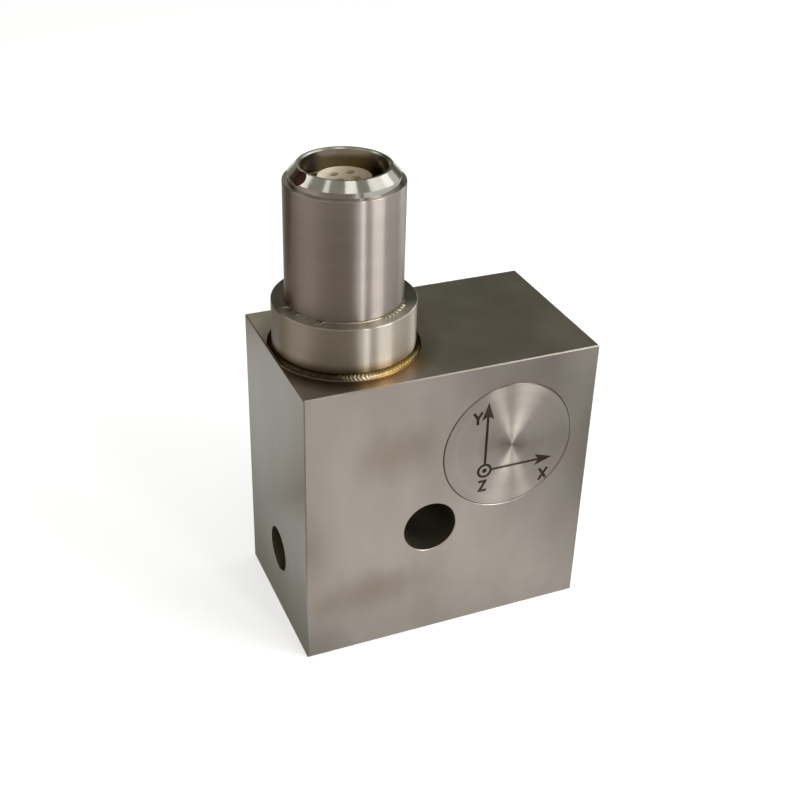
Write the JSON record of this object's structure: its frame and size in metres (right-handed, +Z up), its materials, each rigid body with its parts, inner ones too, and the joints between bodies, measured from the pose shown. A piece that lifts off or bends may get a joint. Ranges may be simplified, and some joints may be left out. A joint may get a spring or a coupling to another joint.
{
  "type": "vibration sensor",
  "caption": "Block-shaped three-axis vibration sensor with a welded connector tower, a flush round lid with an axis mark, and clearance bores for mounting.",
  "frame": {"origin": "centre of the block's bottom face", "axes": "+Z up to the connector, -Y out of the face with the lid, +X to the right seen from the lid"},
  "size_m": [0.035, 0.0208, 0.0559],
  "materials": {
    "ground_steel": "fine ground stainless steel, satin",
    "turned_steel": "turned stainless steel with concentric tool marks",
    "tower_steel": "fine turned stainless steel, satin",
    "weld_metal": "rippled weld, heat tinted from straw to brown",
    "polished_nose": "polished, nearly mirror",
    "red_paint": "dark red enamel in a drilled spot",
    "seal_rubber": "matt black",
    "insert_plastic": "beige moulded insulator",
    "contact_brass": "gold plated",
    "potting_resin": "cast resin",
    "piezo_ceramic": "ground ceramic",
    "tungsten_alloy": "ground sintered metal",
    "screw_steel": "bright steel",
    "board_laminate": "green solder resist",
    "capacitor_ceramic": "tan ceramic",
    "chip_plastic": "black moulding",
    "lead_red": "extruded insulation",
    "lead_green": "extruded insulation",
    "lead_blue": "extruded insulation",
    "lead_white": "extruded insulation"
  },
  "bodies": {
    "root": {"housing_block": "ground_steel", "front_lid": "turned_steel", "weld_collar": "tower_steel", "collar_weld_bead": "weld_metal", "sleeve_weld_bead": "weld_metal", "connector_sleeve": "tower_steel", "connector_shell": "polished_nose", "alignment_dot": "red_paint", "nose_seal": "seal_rubber", "connector_insert": "insert_plastic", "insert_ring": "insert_plastic", "retaining_nut": "contact_brass", "contact_x": "contact_brass", "contact_y": "contact_brass", "contact_z": "contact_brass", "contact_common": "contact_brass", "potting_plug": "potting_resin", "output_lead_x": "lead_red", "output_lead_y": "lead_green", "output_lead_z": "lead_blue", "output_lead_common": "lead_white", "element_carrier": "ground_steel", "x_inner_piezo": "piezo_ceramic", "x_electrode": "contact_brass", "x_outer_piezo": "piezo_ceramic", "x_seismic_mass": "tungsten_alloy", "x_preload_screw": "screw_steel", "y_inner_piezo": "piezo_ceramic", "y_electrode": "contact_brass", "y_outer_piezo": "piezo_ceramic", "y_seismic_mass": "tungsten_alloy", "y_preload_screw": "screw_steel", "z_inner_piezo": "piezo_ceramic", "z_electrode": "contact_brass", "z_outer_piezo": "piezo_ceramic", "z_seismic_mass": "tungsten_alloy", "z_preload_screw": "screw_steel", "element_lead_x": "lead_red", "element_lead_y": "lead_green", "element_lead_z": "lead_blue", "board_standoffs": "contact_brass", "circuit_board": "board_laminate", "amplifier_x": "chip_plastic", "amplifier_y": "chip_plastic", "amplifier_z": "chip_plastic", "board_capacitors": "capacitor_ceramic", "board_resistors": "chip_plastic", "board_screws": "screw_steel"}
  },
  "joints": []
}
